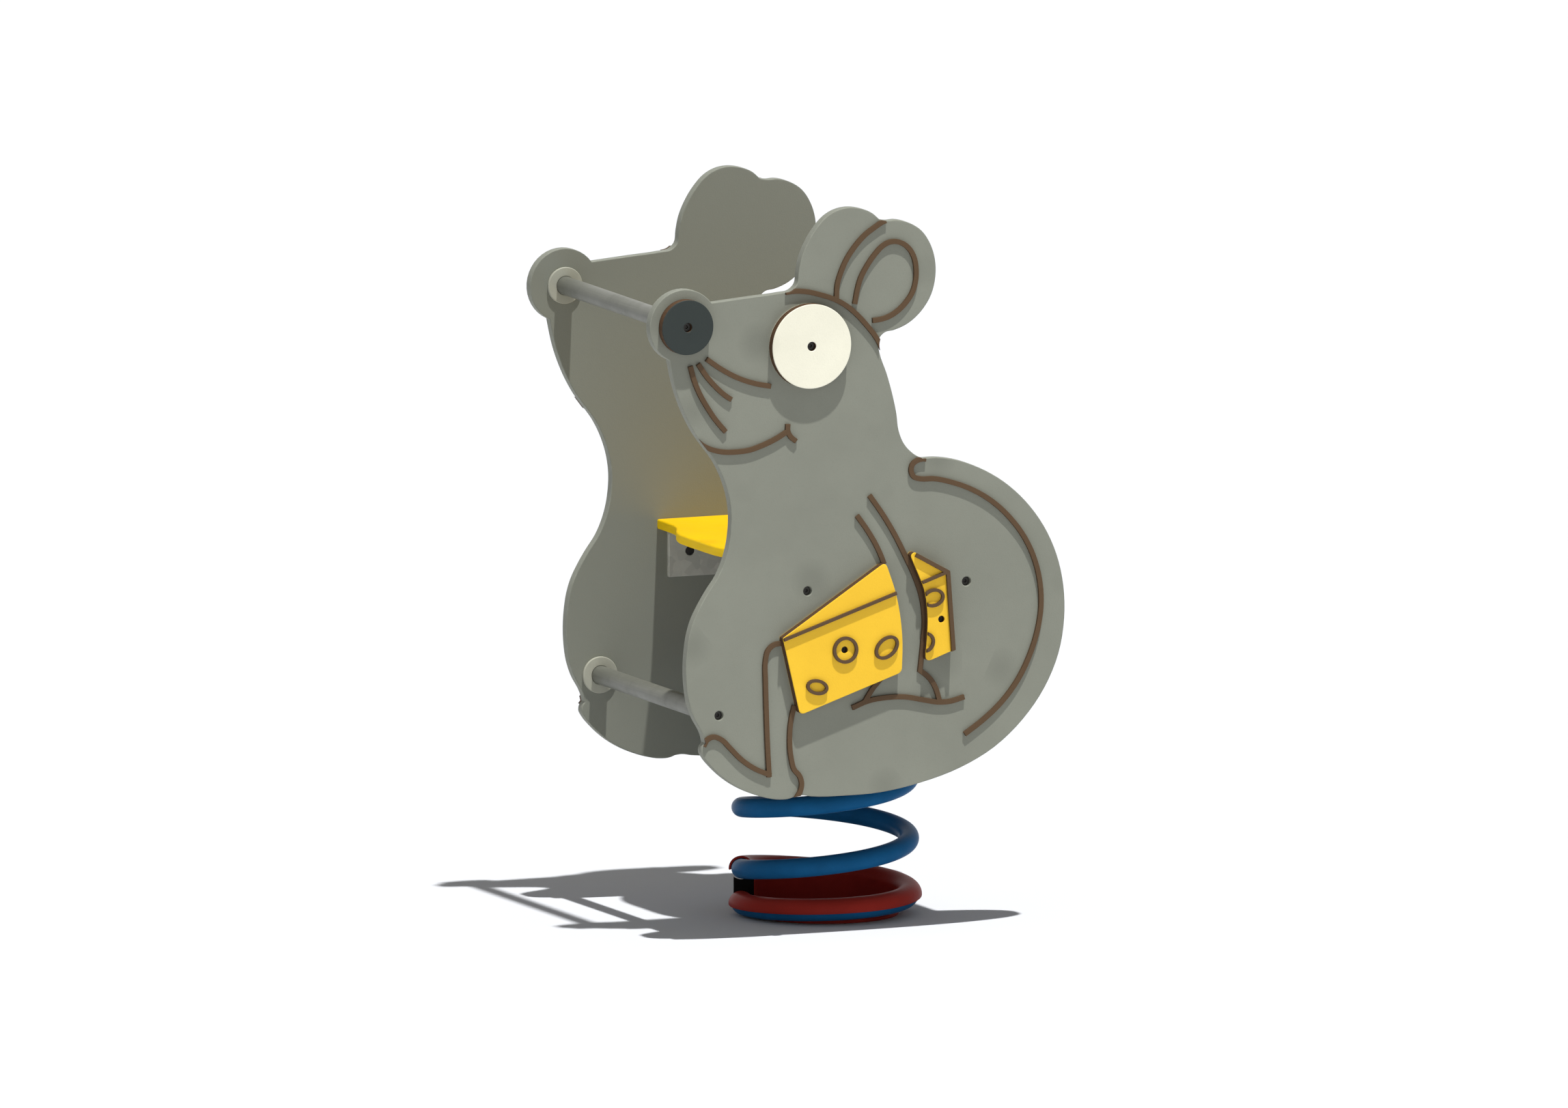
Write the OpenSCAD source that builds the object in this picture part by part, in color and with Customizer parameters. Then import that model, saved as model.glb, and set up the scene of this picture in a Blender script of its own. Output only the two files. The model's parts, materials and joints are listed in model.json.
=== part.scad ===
// Spring rider for a playground: two sheet side panels cut as a mouse, a seat board on a steel
// bracket, a handlebar and a footrest between the panels, and a coil spring on a ground plate.
// The origin is on the ground at the spring's axis, Z is up and the rider faces -X.

/* [Side panels] */
// Length of a panel from the nose to the back
panel_l = 528; // [440:1:620]
// Height of a panel from the foot to the ear
panel_h = 697; // [600:1:780]
// Thickness of the panel sheet
panel_t = 12; // [11:0.5:16]
// Clear distance between the two panels
panel_gap = 347; // [320:1:400]
// Radius of the panel's round nose
nose_r = 43.5; // [38:0.5:48]

/* [Trim on the panels] */
// Thickness of the discs and of the cheese plates
trim_t = 12; // [9:0.5:15]
// Diameter of the eye disc
eye_d = 100; // [80:1:110]
// Diameter of the nose disc
nose_d = 65; // [50:1:74]
// Width of the line strips on the panel
strip_w = 6; // [4.5:0.1:7]
// Height of the line strips
strip_t = 3.5; // [2:0.1:5]
// Width of the line strips on the cheese
line_w = 3.8; // [3:0.1:4.5]
// Outer radius of the round hole ring on the cheese
ring_r = 16; // [13:0.5:18]
// Corner radius of the cheese plates
cheese_corner_r = 7; // [3:0.5:9]

/* [Seat] */
// Thickness of the seat board
seat_t = 12; // [11:0.5:18]
// Reach of the seat's front edge ahead of the spring axis
seat_front = 164; // [155:1:180]
// Reach of the seat's rear edge behind the spring axis
seat_rear = 146; // [130:1:165]
// Setback of the seat's front corners
seat_step = 24; // [15:1:30]
// Length of the bracket along the panels
bracket_l = 256; // [240:1:280]
// Thickness of the bracket plate
bracket_t = 6; // [5:0.5:8]
// Depth of the bracket's side flanges, with the top plate
bracket_drop = 57; // [50:1:70]
// Distance between the two bracket bolts of one panel
bracket_bolt_span = 202; // [180:1:220]
// Depth of the bracket bolts below the bracket's top
bracket_bolt_drop = 27; // [22:0.5:32]

/* [Handlebar and footrest] */
// Diameter of the tubes
tube_d = 22; // [20:0.5:28]
// Wall of the tubes
tube_wall = 2; // [1.5:0.1:3]
// Diameter of the collars at the tube ends
collar_d = 43.5; // [36:0.5:50]
// Thickness of the collars
collar_t = 4; // [3:0.5:6]
// Length of the threaded plugs in the tube ends
plug_l = 30; // [25:1:50]

/* [Spring] */
// Outer diameter of the spring
spring_od = 220; // [200:1:230]
// Diameter of the spring wire
wire_d = 23; // [18:0.5:24]
// Rise of one free turn
pitch = 72.8; // [66:0.1:80]
// Rise of one turn at the closed ends
closed_pitch = 20; // [14:0.5:26]
// Number of turns, with the closed turn at each end
turns = 6.5; // [5.5:0.5:7.5]
// Thickness of the ground plate and of the top plate
plate_t = 4; // [3:0.5:8]
// Thickness of the spring cups' shell
cup_t = 2.5; // [2:0.1:4]
// Thickness of the webs that the wire's two ends stop against
stop_t = 3; // [2:0.5:5]
// Diameter of the anchor holes in the ground plate
anchor_hole_d = 13; // [9:0.5:16]
// Diameter of the circle of anchor holes
anchor_circle_d = 110; // [90:1:120]

/* [Fasteners] */
// Diameter of the panel bolts
bolt_d = 6; // [5:0.5:7]
// Diameter of the sunk holes that the bolt heads sit in
bolt_hole_d = 11; // [10:0.5:13]
// Height of the bolt heads
bolt_head_h = 4; // [3:0.5:4.5]
// Diameter of the small screws in the cheese plates and the eye disc
screw_d = 4; // [3:0.5:4.5]
// Diameter of the sunk holes of the small screws
screw_hole_d = 8; // [7:0.5:9]
// Diameter of the bolts between the top plate and the bracket
plate_bolt_d = 10; // [8:0.5:12]

/* [Hidden] */
// Clearances, cut overrun and fineness
seat_gap = 0.3;
head_gap = 0.3;
shank_gap = 0.3;
thread_gap = 0.05;
cup_gap = 0.9;
overrun = 1;
round_fn = 64;
curve_steps = 4;
corner_steps = 5;
hex_sides = 6;
oval_steps = 40;
wire_sides = 12;
wire_rings = 24;
cup_arc_steps = 12;
left = -1;
right = 1;

// Fasteners: heads, sockets and the sheet left under a head
bolt_head_d = bolt_hole_d - 2 * head_gap;
screw_head_d = screw_hole_d - 2 * head_gap;
screw_head_h = 3;
socket_share = 0.45;
socket_depth_share = 0.6;
under_head_share = 0.25;
blind_share = 0.8;
grip_share = 0.7;
plate_bolt_head_d_share = 1.9;
plate_bolt_head_h_share = 0.64;

// Spring axis: levels from the ground up
wire_r = wire_d / 2;
coil_r = spring_od / 2 - wire_r;
coil_z0 = wire_r + seat_gap;
ramp_start_share = 0.35;
ramp_end_share = 0.85;
ramp_middle_share = (ramp_start_share + ramp_end_share) / 2;
coil_rise = closed_pitch * turns + (pitch - closed_pitch) * (turns - 2 * ramp_middle_share);
web_z = 2 * coil_z0 + coil_rise;
top_plate_z = web_z - plate_t;
seat_z = web_z + bracket_t;
coil_start = 157;
cup_in = wire_r + cup_gap;
cup_far = cup_in + cup_t;
cup_turns = 1 - asin((2 * cup_gap + stop_t + seat_gap) / (coil_r - cup_far)) / 360;
cup_end_angle = -8;
plate_r = coil_r - cup_in;
stop_out_share = 0.78;
plate_bolt_count = 4;
anchor_count = 4;

// Panels: the spring's axis and the bracket bolts set where they stand
axis_share = 0.571;
bracket_bolt_share = 0.3515;
bracket_bolt_z = seat_z - bracket_bolt_drop;
panel_x0 = -axis_share * panel_l;
panel_z0 = bracket_bolt_z - bracket_bolt_share * panel_h;
panel_in = panel_gap / 2;
panel_out = panel_in + panel_t;
flange_in = panel_in - bracket_t;
trim_out = panel_out + trim_t;

// Places on the panel, as shares of its length and height
nose_share = [0.0815, 0.8145];
eye_share = [0.3805, 0.7695];
footrest_share = [0.166, 0.149];
cheese_front_hole_share = [0.4595, 0.2505];
cheese_rear_hole_share = [0.6925, 0.2925];

// The nose's round runs from under the chin over the tip to the top of the muzzle
nose_chin_angle = 245;
nose_top_angle = 36;
nose_steps = 24;

// Runs of the panel's outline, each smooth, with a corner where two runs meet
muzzle_to_ear_shares = [
    [0.148, 0.852], [0.245, 0.857], [0.315, 0.861], [0.339, 0.8635], [0.3535, 0.873], [0.358, 0.894],
    [0.364, 0.916], [0.378, 0.941], [0.4005, 0.967], [0.4255, 0.986], [0.450, 0.9955], [0.478, 0.999],
    [0.508, 0.996], [0.534, 0.988], [0.554, 0.975]
];
ear_to_neck_shares = [
    [0.554, 0.975], [0.572, 0.9725], [0.594, 0.973], [0.627, 0.966], [0.655, 0.952], [0.676, 0.9285],
    [0.687, 0.902], [0.688, 0.873], [0.678, 0.843], [0.6545, 0.816], [0.622, 0.796], [0.588, 0.786],
    [0.566, 0.783], [0.554, 0.775], [0.550, 0.764], [0.553, 0.750], [0.571, 0.712], [0.584, 0.678],
    [0.594, 0.644], [0.5995, 0.6145], [0.613, 0.591], [0.635, 0.574], [0.655, 0.565]
];
back_shares = [
    [0.655, 0.565], [0.690, 0.565], [0.738, 0.559], [0.793, 0.5435], [0.852, 0.5175], [0.9055, 0.4815],
    [0.949, 0.438], [0.980, 0.388], [0.9965, 0.334], [0.9985, 0.279], [0.9845, 0.2195], [0.9505, 0.1625],
    [0.899, 0.1115], [0.830, 0.067], [0.748, 0.0355], [0.652, 0.014], [0.557, 0.002], [0.466, 0.000],
    [0.390, 0.002], [0.365, 0.005], [0.349, 0.004]
];
foot_shares = [
    [0.349, 0.004], [0.338, 0.001], [0.313, 0.000], [0.277, 0.005], [0.235, 0.016], [0.188, 0.036],
    [0.150, 0.061], [0.131, 0.078], [0.124, 0.088], [0.126, 0.098], [0.132, 0.104]
];
belly_to_chin_shares = [
    [0.132, 0.104], [0.127, 0.118], [0.105, 0.149], [0.0935, 0.175], [0.088, 0.203], [0.0865, 0.232],
    [0.089, 0.262], [0.0945, 0.288], [0.105, 0.313], [0.121, 0.3365], [0.1405, 0.360], [0.164, 0.385],
    [0.180, 0.411], [0.190, 0.437], [0.195, 0.463], [0.196, 0.487], [0.191, 0.517], [0.178, 0.549],
    [0.155, 0.583], [0.130, 0.608], [0.113, 0.625], [0.0955, 0.647], [0.076, 0.678], [0.061, 0.710],
    [0.052, 0.738], [0.046, 0.759]
];

// Centre lines of the strips on the panel
brow_shares = [
    [0.325, 0.862], [0.345, 0.863], [0.375, 0.861], [0.410, 0.854], [0.443, 0.845], [0.471, 0.833],
    [0.499, 0.815], [0.522, 0.796], [0.541, 0.778], [0.552, 0.764], [0.558, 0.754]
];
ear_fold_shares = [
    [0.5665, 0.9735], [0.557, 0.971], [0.541, 0.964], [0.517, 0.952], [0.494, 0.935], [0.473, 0.914],
    [0.458, 0.891], [0.449, 0.870], [0.447, 0.846]
];
ear_loop_shares = [
    [0.491, 0.835], [0.496, 0.855], [0.505, 0.878], [0.520, 0.898], [0.538, 0.916], [0.557, 0.930],
    [0.572, 0.936], [0.590, 0.937], [0.609, 0.932], [0.625, 0.921], [0.635, 0.906], [0.639, 0.888],
    [0.638, 0.869], [0.630, 0.849], [0.614, 0.832], [0.593, 0.818], [0.569, 0.809], [0.550, 0.806],
    [0.534, 0.805]
];
whisker_shares = [
    [[0.134, 0.757], [0.170, 0.738], [0.213, 0.7205], [0.255, 0.7095], [0.289, 0.704]],
    [[0.114, 0.7495], [0.134, 0.7275], [0.159, 0.7065], [0.180, 0.6925], [0.194, 0.6855]],
    [[0.095, 0.7465], [0.103, 0.7245], [0.116, 0.7005], [0.135, 0.6755], [0.156, 0.6525], [0.180, 0.6315]]
];
mouth_shares = [
    [0.108, 0.621], [0.125, 0.6105], [0.145, 0.603], [0.172, 0.5975], [0.205, 0.596], [0.239, 0.598],
    [0.271, 0.605], [0.301, 0.614], [0.330, 0.626]
];
cheek_shares = [[0.330, 0.638], [0.330, 0.626], [0.337, 0.616], [0.350, 0.608]];
tail_shares = [
    [0.663, 0.564], [0.655, 0.5645], [0.643, 0.563], [0.630, 0.556], [0.627, 0.545], [0.634, 0.535],
    [0.650, 0.531], [0.680, 0.530], [0.729, 0.521], [0.778, 0.506], [0.823, 0.485], [0.866, 0.455],
    [0.901, 0.420], [0.926, 0.379], [0.938, 0.340], [0.940, 0.302], [0.931, 0.2605], [0.912, 0.219],
    [0.8845, 0.180], [0.8465, 0.1445], [0.8015, 0.1155], [0.756, 0.0925]
];
front_arm_shares = [[0.497, 0.475], [0.520, 0.451], [0.542, 0.424], [0.558, 0.398], [0.562, 0.390]];
rear_arm_shares = [
    [0.527, 0.508], [0.560, 0.473], [0.589, 0.437], [0.6135, 0.401], [0.637, 0.364], [0.653, 0.328],
    [0.659, 0.289], [0.655, 0.250], [0.648, 0.203]
];
wrist_shares = [[0.646, 0.207], [0.672, 0.191], [0.686, 0.174], [0.695, 0.153]];
paw_shares = [[0.560, 0.200], [0.535, 0.180], [0.514, 0.157]];
knee_shares = [
    [0.485, 0.149], [0.523, 0.159], [0.568, 0.163], [0.612, 0.162], [0.657, 0.155], [0.690, 0.150],
    [0.722, 0.150], [0.755, 0.156]
];
front_leg_shares = [
    [0.330, 0.2655], [0.313, 0.266], [0.296, 0.264], [0.282, 0.255], [0.276, 0.239], [0.276, 0.204],
    [0.278, 0.150], [0.281, 0.091], [0.285, 0.040]
];
toe_shares = [
    [0.289, 0.043], [0.252, 0.055], [0.219, 0.072], [0.191, 0.093], [0.171, 0.108], [0.151, 0.114],
    [0.136, 0.110], [0.127, 0.099]
];
rear_leg_shares = [
    [0.3455, 0.159], [0.341, 0.146], [0.336, 0.127], [0.334, 0.100], [0.338, 0.069], [0.346, 0.049],
    [0.357, 0.040], [0.363, 0.027], [0.360, 0.013], [0.350, 0.001]
];

// Cheese plates: corners of the outline, and how much of the corner radius each one takes
cheese_front_shares = [
    [0.3105, 0.2765], [0.5585, 0.3955], [0.5835, 0.343], [0.5945, 0.302], [0.600, 0.258], [0.5975, 0.2065],
    [0.352, 0.144]
];
cheese_front_round_shares = [0.2, 1, 4, 4, 4, 0.8, 1];
cheese_rear_shares = [
    [0.618, 0.404], [0.6275, 0.4095], [0.711, 0.3745], [0.7245, 0.2395], [0.6525, 0.220], [0.6585, 0.265],
    [0.660, 0.305], [0.6525, 0.345], [0.634, 0.376]
];
cheese_rear_round_shares = [0.45, 0.36, 0.15, 0.15, 1.5, 4, 4, 4, 4];

// Lines and hole rings on the cheese
cheese_front_fold_shares = [[0.305, 0.2725], [0.595, 0.345]];
cheese_rear_top_shares = [[0.630, 0.4055], [0.716, 0.369]];
cheese_rear_edge_shares = [[0.707, 0.378], [0.7215, 0.230]];
cheese_rear_fold_shares = [[0.640, 0.356], [0.712, 0.3745]];
cheese_long_ring_share = [0.559, 0.2505];
cheese_low_ring_share = [0.3915, 0.1905];
cheese_cut_ring_share = [0.6715, 0.330];
cheese_half_ring_share = [0.6525, 0.255];
long_ring_half_shares = [1.05, 0.76];
long_ring_turn = 38;
low_ring_half_shares = [0.88, 0.58];
low_ring_turn = -14;
cut_ring_half_shares = [0.88, 0.69];
cut_ring_turn = 10;
half_ring_half_shares = [0.78, 0.72];
half_ring_turn = 60;

// Seat outline: the front edge from the middle out to a panel, as shares of half the gap and the step
seat_front_shares = [
    [0, 0], [0.20, 0], [0.32, 0.05], [0.445, 0.29], [0.563, 0.67], [0.70, 0.95], [0.84, 1], [1, 1]
];
seat_screw_x_share = 0.55;
seat_screw_y_share = 0.58;

panel_colour = "#8A8C7F";
nose_colour = "#3D4140";
eye_colour = "#F6F4DF";
strip_colour = "#64513C";
cheese_colour = "#FCCB39";
seat_colour = "#FFD811";
steel_colour = "#8F918C";
spring_colour = "#2A5578";
cup_colour = "#72251F";
stop_colour = "#0C0B0B";
collar_colour = "#A0A091";
bolt_colour = "#34322F";

// A place on the panel in its own plane, from shares of its length and height
function at(share) = [panel_x0 + share[0] * panel_l, panel_z0 + share[1] * panel_h];
function places(shares) = [for (share = shares) at(share)];

// Slope of a smooth curve at one of its points, weighted by the two spans that meet there
function slope(p, i) =
    i == 0 ? (p[1] - p[0]) / norm(p[1] - p[0])
    : i == len(p) - 1 ? (p[i] - p[i - 1]) / norm(p[i] - p[i - 1])
    : let (before = norm(p[i] - p[i - 1]), after = norm(p[i + 1] - p[i]))
      ((p[i] - p[i - 1]) * after / before + (p[i + 1] - p[i]) * before / after) / (before + after);

// One point of the cubic between two points with given tangents
function cubic(a, ta, b, tb, t) =
    a * (2 * pow(t, 3) - 3 * pow(t, 2) + 1) + ta * (pow(t, 3) - 2 * pow(t, 2) + t)
    + b * (3 * pow(t, 2) - 2 * pow(t, 3)) + tb * (pow(t, 3) - pow(t, 2));

// A smooth curve through points, without its last point
function open_curve(p) = [
    for (i = [0 : len(p) - 2])
        let (span = norm(p[i + 1] - p[i]))
        for (s = [0 : curve_steps - 1])
            cubic(p[i], slope(p, i) * span, p[i + 1], slope(p, i + 1) * span, s / curve_steps)
];
function curve(p) = concat(open_curve(p), [p[len(p) - 1]]);

// A band of even width along a smooth curve
function unit(v) = v / norm(v);
function side_step(c, i) =
    let (along = unit(c[min(i + 1, len(c) - 1)] - c[max(i - 1, 0)]))
    [-along[1], along[0]];
function band(points, width) =
    let (c = curve(points), last = len(c) - 1)
    concat(
        [for (i = [0 : last]) c[i] + side_step(c, i) * width / 2],
        [for (i = [last : -1 : 0]) c[i] - side_step(c, i) * width / 2]
    );

// A closed outline whose corners are eased by a quadratic curve, within half of the shorter edge
function eased(p, radii) = [
    for (i = [0 : len(p) - 1])
        let (
            back = p[(i + len(p) - 1) % len(p)] - p[i],
            ahead = p[(i + 1) % len(p)] - p[i],
            reach = min(radii[i], norm(back) / 2, norm(ahead) / 2),
            a = p[i] + unit(back) * reach,
            b = p[i] + unit(ahead) * reach
        )
        for (s = [0 : corner_steps])
            let (t = s / corner_steps)
            a * pow(1 - t, 2) + p[i] * 2 * t * (1 - t) + b * pow(t, 2)
];

function oval(half, turn) = [
    for (i = [0 : oval_steps - 1])
        let (a = i * 360 / oval_steps, x = half[0] * cos(a), y = half[1] * sin(a))
        [x * cos(turn) - y * sin(turn), x * sin(turn) + y * cos(turn)]
];

nose_arc = [
    for (i = [0 : nose_steps - 1])
        let (a = nose_chin_angle + (nose_top_angle - nose_chin_angle) * i / nose_steps)
        at(nose_share) + nose_r * [cos(a), sin(a)]
];
nose_top = at(nose_share) + nose_r * [cos(nose_top_angle), sin(nose_top_angle)];
nose_chin = at(nose_share) + nose_r * [cos(nose_chin_angle), sin(nose_chin_angle)];

// The runs that end at the nose take their last point from its arc
muzzle_last = len(muzzle_to_ear_shares) - 1;
muzzle_run = [for (i = [0 : muzzle_last]) i == 0 ? nose_top : at(muzzle_to_ear_shares[i])];
belly_last = len(belly_to_chin_shares) - 1;
belly_run = [for (i = [0 : belly_last]) i == belly_last ? nose_chin : at(belly_to_chin_shares[i])];
panel_outline = concat(
    open_curve(muzzle_run),
    open_curve(places(ear_to_neck_shares)),
    open_curve(places(back_shares)),
    open_curve(places(foot_shares)),
    open_curve(belly_run),
    nose_arc
);
cheese_front_outline = eased(places(cheese_front_shares), cheese_front_round_shares * cheese_corner_r);
cheese_rear_outline = eased(places(cheese_rear_shares), cheese_rear_round_shares * cheese_corner_r);

// Rise of the wire's centre from its end: slow in the closed turn, then even, with a ramp between
function end_rise(t) =
    closed_pitch * t + (pitch - closed_pitch) * (
        t < ramp_start_share ? 0
        : t < ramp_end_share ? pow(t - ramp_start_share, 2) / 2 / (ramp_end_share - ramp_start_share)
        : t - ramp_middle_share
    );
function coil_z(t) = coil_z0 + (t < turns / 2 ? end_rise(t) : coil_rise - end_rise(turns - t));
function coil_angle(t) = coil_start + 360 * t;
function coil_place(t) = [coil_r * cos(coil_angle(t)), coil_r * sin(coil_angle(t)), coil_z(t)];

coil_count = turns * wire_rings;
coil_points = [for (i = [0 : coil_count]) coil_place(i / wire_rings)];
coil_least_gap = min([
    for (i = [0 : coil_count - wire_rings / 2])
        for (j = [i + wire_rings / 2 : coil_count])
            norm(coil_points[i] - coil_points[j])
]) - wire_d;
echo(spring_least_gap = coil_least_gap);

// A ring of the wire, square to its run
function wire_ring(i) =
    let (
        run = unit(coil_place((i + 1) / wire_rings) - coil_place((i - 1) / wire_rings)),
        out = [cos(coil_angle(i / wire_rings)), sin(coil_angle(i / wire_rings)), 0],
        across = unit(out - run * (out * run)),
        up = cross(run, across)
    )
    [for (s = [0 : wire_sides - 1])
        let (a = (s + 1 / 2) * 360 / wire_sides)
        coil_points[i] + wire_r * (cos(a) * across - sin(a) * up)];

// Triangles of a tube of rings, with its two end caps
function tube_faces(rings, sides) = concat(
    [for (i = [0 : rings - 2]) for (s = [0 : sides - 1])
        [i * sides + s, i * sides + (s + 1) % sides, (i + 1) * sides + s]],
    [for (i = [0 : rings - 2]) for (s = [0 : sides - 1])
        [i * sides + (s + 1) % sides, (i + 1) * sides + (s + 1) % sides, (i + 1) * sides + s]]
);
function fan(first, sides) = [for (s = [1 : sides - 2]) [first, first + s + 1, first + s]];
function fan_back(first, sides) = [for (s = [1 : sides - 2]) [first, first + s, first + s + 1]];

// The cup's section: a hub wall inside the wire, rising from the plate, and a lip curled over the wire
function lip(radius, angles) = [for (a = angles) [radius * cos(a), radius * sin(a)]];
cup_angles = [for (i = [0 : cup_arc_steps]) 180 + (cup_end_angle - 180) * i / cup_arc_steps];
cup_angles_back = [for (i = [0 : cup_arc_steps]) cup_angles[cup_arc_steps - i]];
function cup_section(t) =
    let (foot = plate_t - coil_z(t))
    concat([[-cup_far, foot]], lip(cup_far, cup_angles), lip(cup_in, cup_angles_back), [[-cup_in, foot]]);
cup_sides = 2 * (cup_arc_steps + 1) + 2;
function cup_ring(i) =
    let (t = min(i / wire_rings, cup_turns), a = coil_angle(t))
    [for (q = cup_section(t)) [(coil_r + q[0]) * cos(a), (coil_r + q[0]) * sin(a), coil_z(t) + q[1]]];

// The end of the cup, split in strips between its near and its far side
function cup_cap(first, flip) = [
    for (s = [0 : cup_arc_steps])
        let (a = first + s, b = first + s + 1, c = first + cup_sides - 1 - s, d = first + cup_sides - 2 - s)
        for (f = [[a, b, c], [b, d, c]])
            flip ? [f[0], f[2], f[1]] : f
];

// A flat shape on one side of the rider, its inner face at a distance from the middle plane
module layer(side, start, thick) {
    mirror([0, side == right ? 1 : 0, 0])
        translate([0, -start, 0])
            rotate([90, 0, 0])
                linear_extrude(thick)
                    children();
}

// A round or six-sided rod across the rider, its inner end at a distance from the middle plane
module rod(side, place, start, length, d, sides = round_fn) {
    mirror([0, side == right ? 1 : 0, 0])
        translate([place[0], -start, place[1]])
            rotate([90, 0, 0])
                cylinder(h = length, d = d, $fn = sides);
}

// A bolt with a low round head and a six-sided socket, its head's seat at a distance from the middle
module bolt(side, place, seat, reach, d, head_d, head_h) {
    socket_depth = head_h * socket_depth_share;
    difference() {
        union() {
            rod(side, place, seat - reach, reach, d);
            rod(side, place, seat, head_h, head_d);
        }
        rod(side, place, seat + head_h - socket_depth, head_h, head_d * socket_share, hex_sides);
    }
}

// A sunk hole for a bolt head with a clear hole below it
module sunk_hole(side, place, start, thick, head_hole_d, shank_d) {
    seat = start + thick * under_head_share;
    rod(side, place, start - overrun, thick + 2 * overrun, shank_d + 2 * shank_gap);
    rod(side, place, seat, thick, head_hole_d);
}

bracket_bolt_places = [for (s = [-1, 1]) [s * bracket_bolt_span / 2, bracket_bolt_z]];
panel_seat = panel_in + panel_t * under_head_share;
trim_seat = panel_out + trim_t * under_head_share;
blind_start = panel_out - panel_t * blind_share;
cheese_hole_places = [at(cheese_front_hole_share), at(cheese_rear_hole_share)];

module panel(side) {
    color(panel_colour)
        difference() {
            layer(side, panel_in, panel_t) polygon(panel_outline);
            for (place = bracket_bolt_places) sunk_hole(side, place, panel_in, panel_t, bolt_hole_d, bolt_d);
            sunk_hole(side, at(footrest_share), panel_in, panel_t, bolt_hole_d, bolt_d);
            rod(side, at(nose_share), panel_in - overrun, panel_t + 2 * overrun, bolt_d + 2 * shank_gap);
            for (place = concat(cheese_hole_places, [at(eye_share)]))
                rod(side, place, blind_start, panel_t, screw_d + 2 * thread_gap);
        }
}

module nose_disc(side) {
    color(nose_colour)
        difference() {
            rod(side, at(nose_share), panel_out, trim_t, nose_d);
            sunk_hole(side, at(nose_share), panel_out, trim_t, bolt_hole_d, bolt_d);
        }
}

module eye_disc(side) {
    color(eye_colour)
        difference() {
            rod(side, at(eye_share), panel_out, trim_t, eye_d);
            sunk_hole(side, at(eye_share), panel_out, trim_t, bolt_hole_d, screw_d);
        }
}

module eye_screw(side) {
    color(bolt_colour)
        bolt(side, at(eye_share), trim_seat, trim_seat - blind_start, screw_d, bolt_head_d, bolt_head_h);
}

module cheese_front(side) {
    color(cheese_colour)
        difference() {
            layer(side, panel_out, trim_t) polygon(cheese_front_outline);
            sunk_hole(side, cheese_hole_places[0], panel_out, trim_t, screw_hole_d, screw_d);
        }
}

module cheese_rear(side) {
    color(cheese_colour)
        difference() {
            layer(side, panel_out, trim_t) polygon(cheese_rear_outline);
            sunk_hole(side, cheese_hole_places[1], panel_out, trim_t, screw_hole_d, screw_d);
        }
}

module cheese_screws(side) {
    color(bolt_colour)
        for (place = cheese_hole_places)
            bolt(side, place, trim_seat, trim_seat - blind_start, screw_d, screw_head_d, screw_head_h);
}

// Strips on a panel, cut off where the panel ends
module strips(side, lines) {
    color(strip_colour)
        layer(side, panel_out, strip_t)
            intersection() {
                union() {
                    for (line = lines) polygon(band(places(line), strip_w));
                }
                polygon(panel_outline);
            }
}

// Strips that run up to the cheese plates
module strips_to_cheese(side, lines) {
    color(strip_colour)
        layer(side, panel_out, strip_t)
            difference() {
                intersection() {
                    union() {
                        for (line = lines) polygon(band(places(line), strip_w));
                    }
                    polygon(panel_outline);
                }
                polygon(cheese_front_outline);
                polygon(cheese_rear_outline);
            }
}

module oval_ring(place_share, half, turn) {
    translate(at(place_share))
        difference() {
            polygon(oval(half, turn));
            polygon(oval([half[0] - line_w, half[1] - line_w], turn));
        }
}

module cheese_front_lines(side) {
    color(strip_colour)
        layer(side, trim_out, strip_t)
            intersection() {
                union() {
                    polygon(band(places(cheese_front_fold_shares), line_w));
                    oval_ring(cheese_front_hole_share, [ring_r, ring_r], 0);
                    oval_ring(cheese_long_ring_share, ring_r * long_ring_half_shares, long_ring_turn);
                    oval_ring(cheese_low_ring_share, ring_r * low_ring_half_shares, low_ring_turn);
                }
                polygon(cheese_front_outline);
            }
}

module cheese_rear_lines(side) {
    color(strip_colour)
        layer(side, trim_out, strip_t)
            intersection() {
                union() {
                    polygon(band(places(cheese_rear_fold_shares), line_w));
                    polygon(band(places(cheese_rear_top_shares), strip_w));
                    polygon(band(places(cheese_rear_edge_shares), strip_w));
                    oval_ring(cheese_cut_ring_share, ring_r * cut_ring_half_shares, cut_ring_turn);
                    oval_ring(cheese_half_ring_share, ring_r * half_ring_half_shares, half_ring_turn);
                }
                polygon(cheese_rear_outline);
            }
}

module bracket_bolts(side) {
    color(bolt_colour)
        for (place = bracket_bolt_places)
            bolt(side, place, panel_seat, panel_seat - flange_in, bolt_d, bolt_head_d, bolt_head_h);
}

// The tubes stand between the panels, each with a collar and a threaded plug at both ends
module cross_tube(place) {
    color(steel_colour)
        difference() {
            rod(left, place, -panel_in, panel_gap, tube_d);
            rod(left, place, -panel_in - overrun, panel_gap + 2 * overrun, tube_d - 2 * tube_wall);
        }
}

module tube_collar(side, place) {
    color(collar_colour)
        difference() {
            rod(side, place, panel_in - collar_t, collar_t, collar_d);
            rod(side, place, panel_in - collar_t - overrun, collar_t + 2 * overrun, tube_d + 2 * thread_gap);
        }
}

module tube_plugs(place) {
    color(steel_colour)
        for (side = [left, right])
            difference() {
                rod(side, place, panel_in - plug_l, plug_l, tube_d - 2 * tube_wall - 2 * thread_gap);
                rod(side, place, panel_in - plug_l - overrun, plug_l + 2 * overrun, bolt_d + 2 * thread_gap);
            }
}

module tube_bolt(side, place, seat) {
    color(bolt_colour)
        bolt(side, place, seat, seat - panel_in + plug_l * grip_share, bolt_d, bolt_head_d, bolt_head_h);
}

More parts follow.
